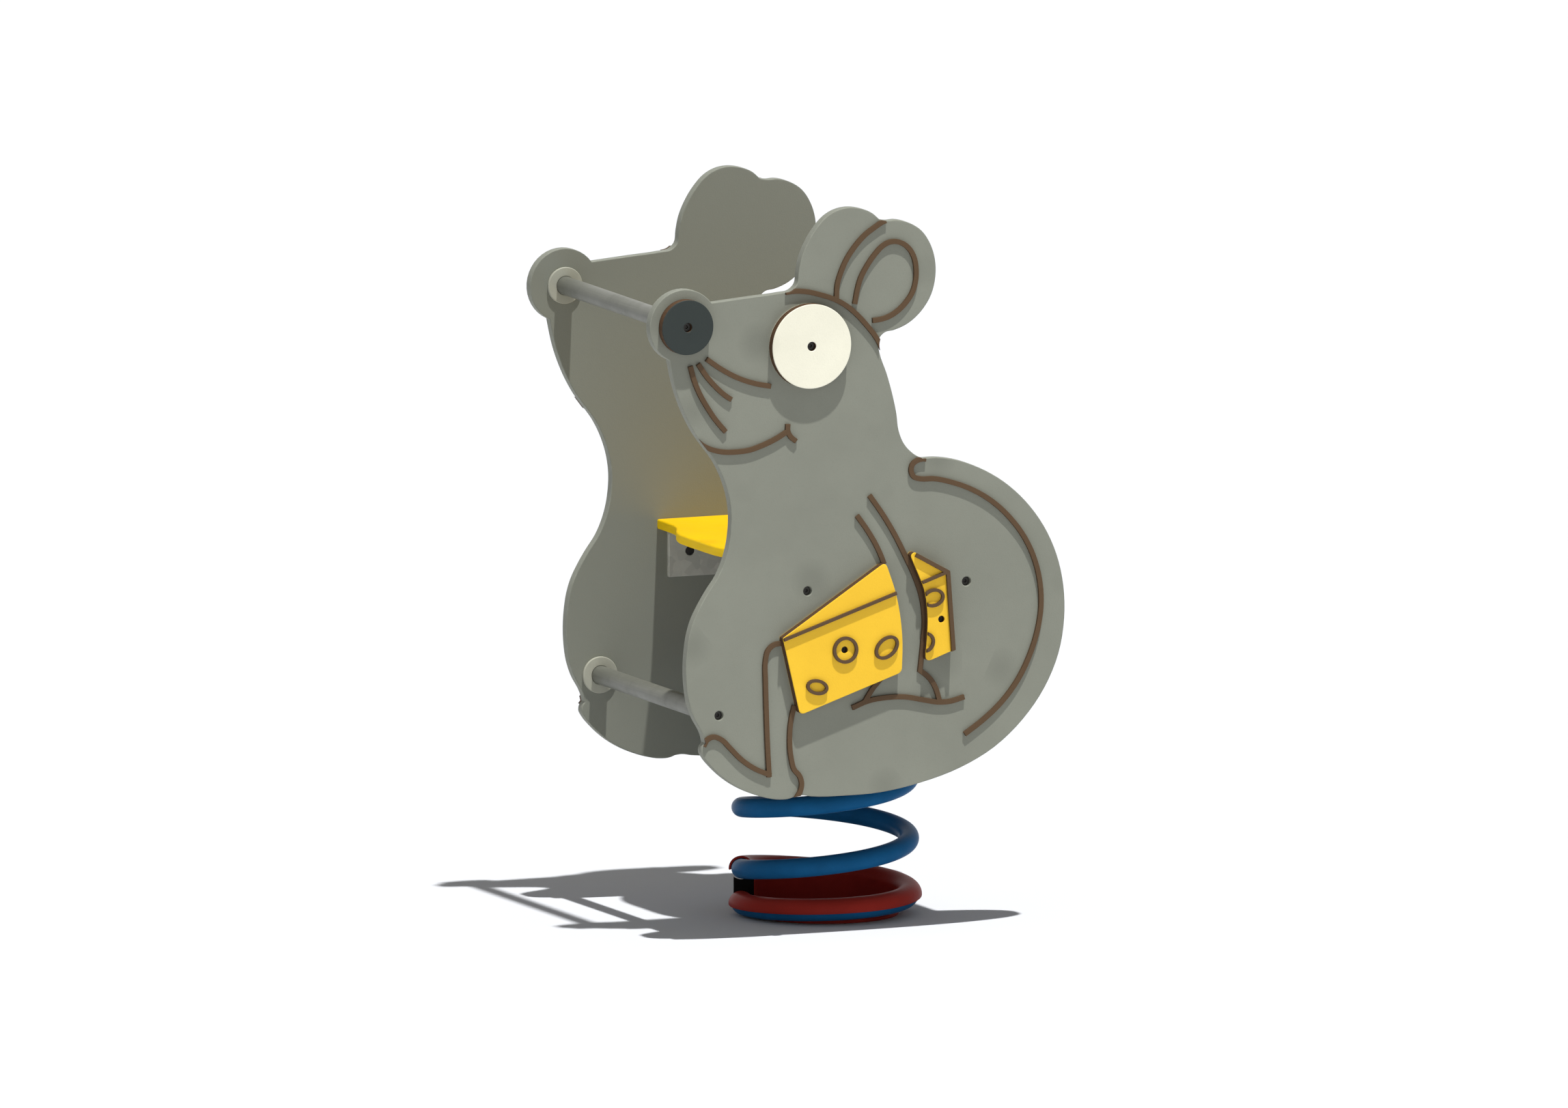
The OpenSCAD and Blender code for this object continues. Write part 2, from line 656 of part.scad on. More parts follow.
web_places = [
    for (x = [-1, 1])
        for (y = [-1, 1])
            [x * bracket_l / 2 * seat_screw_x_share, y * panel_in * seat_screw_y_share]
];
plate_bolt_places = [
    for (i = [0 : plate_bolt_count - 1])
        let (a = (i + 1 / 2) * 360 / plate_bolt_count)
        anchor_circle_d / 2 * [cos(a), sin(a)]
];

module upright(place, z, length, d, sides = round_fn) {
    translate([place[0], place[1], z])
        cylinder(h = length, d = d, $fn = sides);
}

module seat_bracket() {
    color(steel_colour)
        difference() {
            translate([-bracket_l / 2, -panel_in, seat_z - bracket_drop])
                cube([bracket_l, panel_gap, bracket_drop]);
            translate([-bracket_l / 2 - overrun, -panel_in + bracket_t, seat_z - bracket_drop - overrun])
                cube([bracket_l + 2 * overrun, 2 * flange_in, bracket_drop - bracket_t + overrun]);
            for (side = [left, right])
                for (place = bracket_bolt_places)
                    rod(side, place, flange_in - overrun, bracket_t + 2 * overrun, bolt_hole_d);
            for (place = web_places) upright(place, web_z - overrun, bracket_t + 2 * overrun, bolt_hole_d);
            for (place = plate_bolt_places)
                upright(place, web_z - overrun, bracket_t + 2 * overrun, plate_bolt_d + 2 * thread_gap);
        }
}

module flange_inserts() {
    color(bolt_colour)
        for (side = [left, right])
            for (place = bracket_bolt_places)
                difference() {
                    rod(side, place, flange_in, bracket_t, bolt_hole_d - 2 * thread_gap);
                    rod(side, place, flange_in - overrun, bracket_t + 2 * overrun, bolt_d + 2 * thread_gap);
                }
}

module web_inserts() {
    color(bolt_colour)
        for (place = web_places)
            difference() {
                upright(place, web_z, bracket_t, bolt_hole_d - 2 * thread_gap);
                upright(place, web_z - overrun, bracket_t + 2 * overrun, bolt_d + 2 * thread_gap);
            }
}

seat_front_half = [
    for (share = seat_front_shares)
        [-seat_front + share[1] * seat_step, share[0] * panel_in]
];
seat_front_run = curve(seat_front_half);
seat_last = len(seat_front_run) - 1;
seat_outline = concat(
    [for (i = [seat_last : -1 : 1]) [seat_front_run[i][0], -seat_front_run[i][1]]],
    seat_front_run,
    [[seat_rear, panel_in], [seat_rear, -panel_in]]
);
seat_screw_seat = seat_z + seat_t * under_head_share;

module seat_board() {
    color(seat_colour)
        difference() {
            translate([0, 0, seat_z])
                linear_extrude(seat_t)
                    polygon(seat_outline);
            for (place = web_places) {
                upright(place, seat_z - overrun, seat_t + 2 * overrun, bolt_d + 2 * shank_gap);
                upright(place, seat_screw_seat, seat_t, bolt_hole_d);
            }
        }
}

module seat_screws() {
    socket_depth = bolt_head_h * socket_depth_share;
    color(bolt_colour)
        for (place = web_places)
            difference() {
                union() {
                    upright(place, web_z, seat_screw_seat - web_z, bolt_d);
                    upright(place, seat_screw_seat, bolt_head_h, bolt_head_d);
                }
                upright(place, seat_screw_seat + bolt_head_h - socket_depth, bolt_head_h,
                    bolt_head_d * socket_share, hex_sides);
            }
}

module base_plate() {
    color(cup_colour)
        difference() {
            cylinder(h = plate_t, r = plate_r, $fn = round_fn);
            for (i = [0 : anchor_count - 1])
                let (a = (i + 1 / 2) * 360 / anchor_count, place = anchor_circle_d / 2 * [cos(a), sin(a)])
                upright(place, -overrun, plate_t + 2 * overrun, anchor_hole_d);
        }
}

module top_plate() {
    color(cup_colour)
        difference() {
            upright([0, 0], top_plate_z, plate_t, 2 * plate_r);
            for (place = plate_bolt_places)
                upright(place, top_plate_z - overrun, plate_t + 2 * overrun, plate_bolt_d + 2 * shank_gap);
        }
}

module top_plate_bolts() {
    head_h = plate_bolt_d * plate_bolt_head_h_share;
    color(bolt_colour)
        for (place = plate_bolt_places) {
            upright(place, top_plate_z - head_h, head_h, plate_bolt_d * plate_bolt_head_d_share, hex_sides);
            upright(place, top_plate_z, plate_t + bracket_t, plate_bolt_d);
        }
}

module spring() {
    last = coil_count * wire_sides;
    color(spring_colour)
        polyhedron(
            points = [for (i = [0 : coil_count]) each wire_ring(i)],
            faces = concat(
                tube_faces(coil_count + 1, wire_sides),
                fan(0, wire_sides),
                fan_back(last, wire_sides)
            )
        );
}

module spring_cup() {
    color(cup_colour)
        polyhedron(
            points = [for (i = [0 : wire_rings]) each cup_ring(i)],
            faces = concat(
                tube_faces(wire_rings + 1, cup_sides),
                cup_cap(0, true),
                cup_cap(wire_rings * cup_sides, false)
            )
        );
}

// The web across the step where the cup's turn closes, cut away round the wire's next turn
module spring_stop() {
    color(stop_colour)
        rotate([0, 0, coil_start])
            translate([coil_r, -2 * cup_gap, 0])
                rotate([90, 0, 0])
                    linear_extrude(stop_t)
                        difference() {
                            translate([-cup_far, plate_t])
                                square([cup_far + wire_r * stop_out_share, coil_z(1) - plate_t]);
                            translate([0, coil_z(1)])
                                circle(r = wire_r + 2 * cup_gap, $fn = round_fn);
                        }
}

// The upper end is the lower one turned over about the spring's middle, where the coil meets itself
module turned_over() {
    middle = coil_angle(turns / 2);
    translate([0, 0, web_z])
        rotate([0, 0, middle])
            rotate([180, 0, 0])
                rotate([0, 0, -middle])
                    children();
}

arm_lines = [front_arm_shares, rear_arm_shares, wrist_shares, paw_shares, knee_shares];
leg_lines = [front_leg_shares, toe_shares, rear_leg_shares];

base_plate();
spring_cup();  // lower_spring_cup
spring_stop();  // lower_spring_stop
spring();
turned_over() spring_cup();  // upper_spring_cup
turned_over() spring_stop();  // upper_spring_stop
top_plate();
top_plate_bolts();
seat_bracket();
flange_inserts();
web_inserts();
seat_board();
seat_screws();
panel(left);  // left_panel
panel(right);  // right_panel
bracket_bolts(left);  // left_bracket_bolts
bracket_bolts(right);  // right_bracket_bolts
cross_tube(at(nose_share));  // handlebar_tube
tube_collar(left, at(nose_share));  // left_handlebar_collar
tube_collar(right, at(nose_share));  // right_handlebar_collar
tube_plugs(at(nose_share));  // handlebar_plugs
tube_bolt(left, at(nose_share), trim_seat);  // left_handlebar_bolt
tube_bolt(right, at(nose_share), trim_seat);  // right_handlebar_bolt
cross_tube(at(footrest_share));  // footrest_tube
tube_collar(left, at(footrest_share));  // left_footrest_collar
tube_collar(right, at(footrest_share));  // right_footrest_collar
tube_plugs(at(footrest_share));  // footrest_plugs
tube_bolt(left, at(footrest_share), panel_seat);  // left_footrest_bolt
tube_bolt(right, at(footrest_share), panel_seat);  // right_footrest_bolt
nose_disc(left);  // left_nose_disc
nose_disc(right);  // right_nose_disc
eye_disc(left);  // left_eye_disc
eye_disc(right);  // right_eye_disc
eye_screw(left);  // left_eye_screw
eye_screw(right);  // right_eye_screw
cheese_front(left);  // left_cheese_front
cheese_front(right);  // right_cheese_front
cheese_rear(left);  // left_cheese_rear
cheese_rear(right);  // right_cheese_rear
cheese_screws(left);  // left_cheese_screws
cheese_screws(right);  // right_cheese_screws
strips(left, [brow_shares, ear_fold_shares]);  // left_brow_strip
strips(right, [brow_shares, ear_fold_shares]);  // right_brow_strip
strips(left, [ear_loop_shares]);  // left_ear_strip
strips(right, [ear_loop_shares]);  // right_ear_strip
strips(left, whisker_shares);  // left_whisker_strips
strips(right, whisker_shares);  // right_whisker_strips
strips(left, [mouth_shares, cheek_shares]);  // left_mouth_strip
strips(right, [mouth_shares, cheek_shares]);  // right_mouth_strip
strips(left, [tail_shares]);  // left_tail_strip
strips(right, [tail_shares]);  // right_tail_strip
strips_to_cheese(left, arm_lines);  // left_arm_strips
strips_to_cheese(right, arm_lines);  // right_arm_strips
strips_to_cheese(left, leg_lines);  // left_leg_strips
strips_to_cheese(right, leg_lines);  // right_leg_strips
cheese_front_lines(left);  // left_cheese_front_lines
cheese_front_lines(right);  // right_cheese_front_lines
cheese_rear_lines(left);  // left_cheese_rear_lines
cheese_rear_lines(right);  // right_cheese_rear_lines
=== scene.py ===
import json
import math

import bmesh
import bpy
import numpy as np
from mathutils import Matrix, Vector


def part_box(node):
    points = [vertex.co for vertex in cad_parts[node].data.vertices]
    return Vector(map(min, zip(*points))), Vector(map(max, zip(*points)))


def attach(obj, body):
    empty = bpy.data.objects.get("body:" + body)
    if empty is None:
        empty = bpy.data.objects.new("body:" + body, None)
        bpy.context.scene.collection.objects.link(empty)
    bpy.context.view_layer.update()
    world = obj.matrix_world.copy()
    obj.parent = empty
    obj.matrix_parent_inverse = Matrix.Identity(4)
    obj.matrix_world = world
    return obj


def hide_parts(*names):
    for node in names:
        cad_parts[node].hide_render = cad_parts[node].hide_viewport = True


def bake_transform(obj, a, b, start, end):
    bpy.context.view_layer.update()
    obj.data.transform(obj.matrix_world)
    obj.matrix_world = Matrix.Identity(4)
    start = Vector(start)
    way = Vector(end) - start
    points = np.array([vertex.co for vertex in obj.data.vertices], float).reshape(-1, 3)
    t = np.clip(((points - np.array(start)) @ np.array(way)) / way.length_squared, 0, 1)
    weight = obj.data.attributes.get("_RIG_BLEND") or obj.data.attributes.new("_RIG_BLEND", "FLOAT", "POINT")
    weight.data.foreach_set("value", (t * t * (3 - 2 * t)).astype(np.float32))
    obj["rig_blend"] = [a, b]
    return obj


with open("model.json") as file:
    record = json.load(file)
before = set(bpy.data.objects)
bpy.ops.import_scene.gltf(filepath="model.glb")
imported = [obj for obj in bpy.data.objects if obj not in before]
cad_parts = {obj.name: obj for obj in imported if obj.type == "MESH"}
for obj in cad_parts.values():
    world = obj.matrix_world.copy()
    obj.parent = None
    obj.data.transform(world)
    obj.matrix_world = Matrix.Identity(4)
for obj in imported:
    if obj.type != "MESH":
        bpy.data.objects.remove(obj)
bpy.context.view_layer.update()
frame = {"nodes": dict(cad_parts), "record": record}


def linear(red, green, blue):
    # screen values from 0 to 255 turned into the linear colour that a shader takes
    share = np.array([red, green, blue]) / 255
    return tuple(np.where(share > 0.04045, ((share + 0.055) / 1.055) ** 2.4, share / 12.92)) + (1,)


def tone(colour, factor):
    return tuple(min(1, part * factor) for part in colour[:3]) + (1,)


def startFinish(name):
    # a new material with its node tree, its shader and its texture places
    finish = bpy.data.materials.new(name)
    finish.use_nodes = True
    tree = finish.node_tree
    coords = tree.nodes.new("ShaderNodeTexCoord")
    return finish, tree, tree.nodes["Principled BSDF"], coords


def feed(tree, socket, value):
    # joins a socket to another one, or sets it to a constant
    if isinstance(value, bpy.types.NodeSocket):
        tree.links.new(value, socket)
    else:
        socket.default_value = value


# each helper from here on adds one node, joins its inputs and gives its output
def calc(tree, operation, first, second=0.0, clamp=False):
    node = tree.nodes.new("ShaderNodeMath")
    node.operation = operation
    node.use_clamp = clamp
    feed(tree, node.inputs[0], first)
    feed(tree, node.inputs[1], second)
    return node.outputs[0]


def remap(tree, value, low, high, toLow=0.0, toHigh=1.0):
    node = tree.nodes.new("ShaderNodeMapRange")
    feed(tree, node.inputs["Value"], value)
    for socket, number in zip(("From Min", "From Max", "To Min", "To Max"), (low, high, toLow, toHigh)):
        node.inputs[socket].default_value = number
    return node.outputs["Result"]


def mixColours(tree, share, first, second):
    node = tree.nodes.new("ShaderNodeMix")
    node.data_type = "RGBA"
    feed(tree, node.inputs[0], share)
    feed(tree, node.inputs[6], first)
    feed(tree, node.inputs[7], second)
    return node.outputs[2]


def stretched(tree, place, scales):
    node = tree.nodes.new("ShaderNodeMapping")
    tree.links.new(place, node.inputs["Vector"])
    node.inputs["Scale"].default_value = scales
    return node.outputs["Vector"]


noiseSpan = (0.3, 0.7)             # nearly all values of a noise lie between these


def noise(tree, place, scale, detail=2.0, rough=0.5):
    node = tree.nodes.new("ShaderNodeTexNoise")
    tree.links.new(place, node.inputs["Vector"])
    node.inputs["Scale"].default_value = scale
    node.inputs["Detail"].default_value = detail
    node.inputs["Roughness"].default_value = rough
    return node.outputs["Fac"]


def scatter(tree, place, scale):
    # a scattered point pattern: one value from 0 to 1 for each cell, and the distance to its point
    node = tree.nodes.new("ShaderNodeTexVoronoi")
    tree.links.new(place, node.inputs["Vector"])
    node.inputs["Scale"].default_value = scale
    split = tree.nodes.new("ShaderNodeSeparateColor")
    tree.links.new(node.outputs["Color"], split.inputs["Color"])
    return split.outputs["Red"], node.outputs["Distance"]


def spots(tree, place, scale, chosen, span):
    # soft round spots in a chosen share of the cells
    cell, distance = scatter(tree, place, scale)
    return calc(tree, "MULTIPLY", remap(tree, distance, *span), calc(tree, "GREATER_THAN", cell, 1 - chosen))


def axes(tree, vector):
    node = tree.nodes.new("ShaderNodeSeparateXYZ")
    tree.links.new(vector, node.inputs["Vector"])
    return node.outputs


def bump(tree, shader, height, depth):
    node = tree.nodes.new("ShaderNodeBump")
    node.inputs["Strength"].default_value = 1
    node.inputs["Distance"].default_value = depth
    tree.links.new(height, node.inputs["Height"])
    tree.links.new(node.outputs["Normal"], shader.inputs["Normal"])


sheetLook = {
    "blotch": 9.0,                 # soft patches of colour, per metre
    "blotchDepth": 0.05,
    "speckle": 420.0,              # the fine mottle of pressed sheet
    "speckleSpan": (0.56, 0.72),
    "speckleShare": 0.2,
    "speckleTone": 0.82,
    "peel": 620.0,                 # orange-peel grain
    "peelDepth": 0.00012,
    "edgeSpan": (0.75, 0.35),      # how much a surface faces outward, from flat face to sawn edge
    "paintedSideShare": 0.8,
    "routerLines": 1100.0,         # cutter marks along a sawn edge, per metre of thickness
    "routerShare": 0.35,
    "scuff": 34.0,
    "scuffStretch": (1.0, 1.0, 5.0),
    "smudge": 13.0,                # soft dark spots, cells per metre
    "smudgeShare": 0.45,
    "smudgeSpan": (0.36, 0.12),
    "smudgeDepth": 0.26,
    "smudgeTone": 0.45,
    "coreSpan": (0.35, 0.65),
    "coreTones": (0.85, 1.12),
    "wear": 0.45,                  # whitening of the rounded edges
    "wearPatch": 55.0,
    "wearSpan": (0.46, 0.62),
    "wearTone": 1.35,
    "roundFrom": (0.97, 0.80),     # a rounded edge faces outward less than a flat face
    "roundTo": (0.05, 0.25),       # and more than a sawn edge
    "shadedInnerTone": 0.86,             # painted shade: the panels' inner faces darker, for the shade between the panels
    "roughness": (0.46, 0.60),
    "shine": 0.15,
}


def sheetFinish(name, colour, core=None, coreFrom=0.0, coreTo=0.0, paintedSideTone=0.93, shadedInnerTo=0.0, across="Y"):
    # pressed sheet: patches, mottle and smudges on the colour, orange peel on the faces, cutter lines
    # on the edges, painted shade on the sides (painted light on the seat's) and on the panels' inner faces,
    # wear on the rounded edges, and where it has a core, that colour between two depths from the middle
    # plane
    look = sheetLook
    finish, tree, shader, coords = startFinish(name)
    place = coords.outputs["Object"]
    depth = calc(tree, "ABSOLUTE", axes(tree, place)[across])
    facing = calc(tree, "ABSOLUTE", axes(tree, coords.outputs["Normal"])[across])
    edge = remap(tree, facing, *look["edgeSpan"])
    patches = noise(tree, place, look["blotch"], detail=4.0, rough=0.6)
    mottle = noise(tree, place, look["speckle"])
    low, high = 1 - look["blotchDepth"], 1 + look["blotchDepth"]
    patched = mixColours(tree, remap(tree, patches, *noiseSpan), tone(colour, low), tone(colour, high))
    fleck = remap(tree, mottle, *look["speckleSpan"], 0.0, look["speckleShare"])
    skin = mixColours(tree, fleck, patched, tone(colour, look["speckleTone"]))
    spotted = spots(tree, place, look["smudge"], look["smudgeShare"], look["smudgeSpan"])
    smudges = calc(tree, "MULTIPLY", spotted, look["smudgeDepth"])
    skin = mixColours(tree, smudges, skin, tone(colour, look["smudgeTone"]))
    # painted shade on the sides: surfaces that face sideways take paintedSideTone, darker than the faces,
    # and lighter on the seat as painted light
    skin = mixColours(tree, calc(tree, "MULTIPLY", edge, look["paintedSideShare"]), skin, tone(colour, paintedSideTone))
    # painted shade: faces nearer the middle plane than shadedInnerTo, the panels' inner faces, are darkened
    # for the shade between the panels
    if shadedInnerTo:
        nearMiddle = calc(tree, "LESS_THAN", depth, shadedInnerTo)
        innerShadeMask = calc(tree, "MULTIPLY", nearMiddle, calc(tree, "SUBTRACT", 1.0, edge))
        skin = mixColours(tree, innerShadeMask, skin, tone(colour, look["shadedInnerTone"]))
    if core:
        inCore = calc(tree, "MULTIPLY", calc(tree, "GREATER_THAN", depth, coreFrom),
                      calc(tree, "LESS_THAN", depth, coreTo))
        dark, light = (tone(core, factor) for factor in look["coreTones"])
        mottled = mixColours(tree, remap(tree, mottle, *look["coreSpan"]), dark, light)
        skin = mixColours(tree, inCore, skin, mottled)
    rounded = calc(tree, "MULTIPLY", remap(tree, facing, *look["roundFrom"]),
                   remap(tree, facing, *look["roundTo"]))
    worn = noise(tree, place, look["wearPatch"], detail=5.0, rough=0.7)
    patchy = remap(tree, worn, *look["wearSpan"], 0.0, look["wear"])
    wear = calc(tree, "MULTIPLY", rounded, patchy)
    skin = mixColours(tree, wear, skin, tone(colour, look["wearTone"]))
    tree.links.new(skin, shader.inputs["Base Color"])
    scuffs = noise(tree, stretched(tree, place, look["scuffStretch"]), look["scuff"], detail=6.0, rough=0.7)
    rough = remap(tree, scuffs, *noiseSpan, *look["roughness"])
    tree.links.new(rough, shader.inputs["Roughness"])
    shader.inputs["Specular IOR Level"].default_value = look["shine"]
    lines = calc(tree, "SINE", calc(tree, "MULTIPLY", depth, look["routerLines"] * 2 * math.pi))
    sawn = calc(tree, "MULTIPLY", edge, calc(tree, "MULTIPLY", lines, look["routerShare"]))
    peel = noise(tree, place, look["peel"])
    bump(tree, shader, calc(tree, "ADD", peel, sawn), look["peelDepth"])
    return finish


coatLook = {
    "peel": 260.0,                 # orange peel, per metre
    "peelDepth": 0.00018,
    "cloud": 22.0,
    "cloudTones": (0.9, 1.1),
    "fleck": 900.0,
    "fleckSpan": (0.66, 0.74),
    "fleckShare": 0.25,
    "fleckTone": 1.5,
    "dustSpan": (0.2, 1.0),        # dust settles on what looks up
    "dustShare": 0.10,
    "roughness": (0.32, 0.44),
    "shine": 0.025,
}


def coatFinish(name, colour, dustColour):
    # powder coat: a satin colour with slow clouds, fine flecks, settled dust and a soft orange peel
    look = coatLook
    finish, tree, shader, coords = startFinish(name)
    place = coords.outputs["Object"]
    clouds = noise(tree, place, look["cloud"], detail=4.0, rough=0.6)
    flecks = noise(tree, place, look["fleck"], detail=1.0)
    dark, light = (tone(colour, factor) for factor in look["cloudTones"])
    body = mixColours(tree, remap(tree, clouds, *noiseSpan), dark, light)
    upward = axes(tree, coords.outputs["Normal"])["Z"]
    body = mixColours(tree, remap(tree, upward, *look["dustSpan"], 0.0, look["dustShare"]), body, dustColour)
    flecked = remap(tree, flecks, *look["fleckSpan"], 0.0, look["fleckShare"])
    body = mixColours(tree, flecked, body, tone(colour, look["fleckTone"]))
    tree.links.new(body, shader.inputs["Base Color"])
    tree.links.new(remap(tree, clouds, *noiseSpan, *look["roughness"]), shader.inputs["Roughness"])
    shader.inputs["Specular IOR Level"].default_value = look["shine"]
    bump(tree, shader, noise(tree, place, look["peel"]), look["peelDepth"])
    return finish


mouldedLook = {
    "grain": 900.0,                # spark-eroded tool texture
    "grainDepth": 0.00006,
    "grainSpan": (0.55, 0.75),
    "grainShare": 0.3,
    "grainTone": 0.85,
    "cloud": 40.0,
    "cloudTones": (0.94, 1.06),
    "roughness": (0.50, 0.62),
    "shine": 0.2,
}


def mouldedFinish(name, colour):
    # moulded plastic: an even colour with faint clouds and a fine matt grain
    look = mouldedLook
    finish, tree, shader, coords = startFinish(name)
    place = coords.outputs["Object"]
    clouds = noise(tree, place, look["cloud"], detail=4.0, rough=0.6)
    grain = noise(tree, place, look["grain"])
    dark, light = (tone(colour, factor) for factor in look["cloudTones"])
    body = mixColours(tree, remap(tree, clouds, *noiseSpan), dark, light)
    grained = remap(tree, grain, *look["grainSpan"], 0.0, look["grainShare"])
    body = mixColours(tree, grained, body, tone(colour, look["grainTone"]))
    tree.links.new(body, shader.inputs["Base Color"])
    tree.links.new(remap(tree, clouds, *noiseSpan, *look["roughness"]), shader.inputs["Roughness"])
    shader.inputs["Specular IOR Level"].default_value = look["shine"]
    bump(tree, shader, grain, look["grainDepth"])
    return finish


steelLook = {
    "spangle": 95.0,               # zinc crystals, per metre
    "spangleTones": (0.86, 1.12),
    "stain": 16.0,
    "stainSpan": (0.45, 0.75),
    "stainShare": 0.5,
    "stainTone": 0.78,
    "zincMetal": 0.15,
    "brush": (700.0, 14.0, 700.0), # fine lines along the tube
    "brushTones": (0.88, 1.1),
    "brushDepth": 0.00003,
    "mark": 32.0,
    "markSpan": (0.52, 0.72),
    "markShare": 0.45,
    "markTone": 0.72,
    "roughness": (0.38, 0.55),
}


def galvanisedFinish(name, colour):
    # hot-dip zinc: crystal cells of slightly different greys under dull stains
    look = steelLook
    finish, tree, shader, coords = startFinish(name)
    place = coords.outputs["Object"]
    crystals = scatter(tree, place, look["spangle"])[0]
    stains = noise(tree, place, look["stain"], detail=5.0, rough=0.65)
    dark, light = (tone(colour, factor) for factor in look["spangleTones"])
    zinc = mixColours(tree, crystals, dark, light)
    stained = remap(tree, stains, *look["stainSpan"], 0.0, look["stainShare"])
    zinc = mixColours(tree, stained, zinc, tone(colour, look["stainTone"]))
    tree.links.new(zinc, shader.inputs["Base Color"])
    shader.inputs["Metallic"].default_value = look["zincMetal"]
    tree.links.new(remap(tree, stains, *noiseSpan, *look["roughness"]), shader.inputs["Roughness"])
    bump(tree, shader, crystals, look["brushDepth"])
    return finish


def brushedFinish(name, colour, metallic):
    # ground steel: fine lines along the part and faint hand marks
    look = steelLook
    finish, tree, shader, coords = startFinish(name)
    place = coords.outputs["Object"]
    lines = noise(tree, stretched(tree, place, look["brush"]), 1.0, detail=4.0, rough=0.7)
    marks = noise(tree, place, look["mark"], detail=4.0, rough=0.6)
    dark, light = (tone(colour, factor) for factor in look["brushTones"])
    body = mixColours(tree, remap(tree, lines, *noiseSpan), dark, light)
    marked = remap(tree, marks, *look["markSpan"], 0.0, look["markShare"])
    body = mixColours(tree, marked, body, tone(colour, look["markTone"]))
    tree.links.new(body, shader.inputs["Base Color"])
    shader.inputs["Metallic"].default_value = metallic
    tree.links.new(remap(tree, marks, *noiseSpan, *look["roughness"]), shader.inputs["Roughness"])
    bump(tree, shader, lines, look["brushDepth"])
    return finish


trimInner, trimOuter = sorted(abs(corner.y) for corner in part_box("left_nose_disc"))
panelMiddle = sum(abs(corner.y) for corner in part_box("left_panel")) / 2
skinDepth = 0.0011               # coloured skin on each face of a cored sheet
coreColour = linear(84, 62, 44)
cored = {"core": coreColour, "coreFrom": trimInner + skinDepth, "coreTo": trimOuter - skinDepth}

finishes = {
    "grey_sheet": sheetFinish("greySheet", linear(138, 140, 128), shadedInnerTo=panelMiddle),
    "dark_grey_sheet": sheetFinish("darkGreySheet", linear(54, 60, 58), **cored),
    "cream_sheet": sheetFinish("creamSheet", linear(246, 243, 222), **cored),
    "yellow_cheese_sheet": sheetFinish("cheeseSheet", linear(252, 202, 56), **cored),
    # painted light: the seat's sides lighter than its top
    "yellow_seat_sheet": sheetFinish("seatSheet", linear(233, 186, 2), paintedSideTone=1.35, across="Z"),
    # painted shade: the strips' side walls darker than their tops
    "brown_strip": sheetFinish("brownStrip", linear(94, 74, 54), paintedSideTone=0.72),
    "red_painted_steel": coatFinish("redCoat", linear(144, 42, 35), linear(154, 66, 56)),
    # painted shade: the spring stops are near black, for the unlit dark seen at the cups' stops
    "black_painted_steel": coatFinish("paintedShadeBlackCoat", linear(6, 5, 5), linear(24, 22, 21)),
    "blue_painted_steel": coatFinish("blueCoat", linear(24, 86, 132), linear(60, 110, 150)),
    "pale_grey_moulding": mouldedFinish("paleMoulding", linear(166, 166, 151)),
    "galvanised_steel": galvanisedFinish("zincSteel", linear(188, 188, 176)),
    "tube_steel": brushedFinish("tubeSteel", linear(107, 108, 99), 0.2),
    "fastener_steel": brushedFinish("boltSteel", linear(52, 50, 47), 0.5),
}
print("finishes:", len(finishes))


slotOf = {part["node"]: part["material_slot"] for part in frame["record"]["subparts"]}
bodyOf = {node: body for body, nodes in frame["record"]["behaviour"]["bodies"].items() for node in nodes}


def finishPiece(piece, body, slot):
    # gives a piece its finish and slot, and the body that it rides on
    piece.data.materials.clear()
    piece.data.materials.append(finishes[slot])
    if body:
        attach(piece, body)
    return piece


# edge rounding by the end of the node's name: radius in metres, steps, and for a flat sheet the axis
# that its faces look along
edgeWork = {
    "_panel": (0.0011, 3, 1),
    "seat_board": (0.0022, 3, 2),
    "_disc": (0.0008, 3, 1),
    "cheese_front": (0.0009, 2, 1),
    "cheese_rear": (0.0006, 2, 1),
    "_strip": (0.0003, 2, 1),
    "_strips": (0.0003, 2, 1),
    "_lines": (0.0003, 2, 1),
    "_collar": (0.0010, 3, 1),
    "_tube": (0.0005, 2, 1),
    "_plate": (0.0008, 2, 2),
    "seat_bracket": (0.0009, 2, None),
    "_stop": (0.0006, 2, None),
    "_bolts": (0.0003, 2, None),
    "_bolt": (0.0003, 2, None),
    "_screws": (0.0003, 2, None),
    "_screw": (0.0003, 2, None),
    "_plugs": (0.0004, 2, None),
    "_inserts": (0.0003, 2, None),
}
sharpAngle = math.radians(38)
mergeWithin = 2e-6               # corners nearer than this are one, in metres
levelWithin = 1e-5               # a face this near the sheet's top or bottom lies in it
flatCosine = 0.999               # a normal this near the sheet's axis looks along it
flatAngle = math.radians(0.4)    # faces that turn less than this are one


def flatten(piece):
    # normals weighted by area, so that broad faces stay flat beside their rounded edges
    shading = piece.modifiers.new("shading", "WEIGHTED_NORMAL")
    shading.mode = "FACE_AREA"
    shading.weight = 80
    shading.keep_sharp = True


def roundSheet(shape, width, steps, axis):
    # each flat face of a sheet sinks by the radius, then rises again in rings along a quarter circle
    angles = np.linspace(0, math.pi / 2, steps + 1)
    for side in (1, -1):
        top = side * max(side * vert.co[axis] for vert in shape.verts)
        flat = [face for face in shape.faces
                if side * face.normal[axis] > flatCosine
                and abs(face.calc_center_median()[axis] - top) < levelWithin]
        for vert in {vert for face in flat for vert in face.verts}:
            vert.co[axis] -= side * width
        for low, high in zip(angles, angles[1:]):
            bmesh.ops.inset_region(shape, faces=flat, use_boundary=True, use_even_offset=False,
                                   thickness=width * (math.cos(low) - math.cos(high)),
                                   depth=width * (math.sin(high) - math.sin(low)))


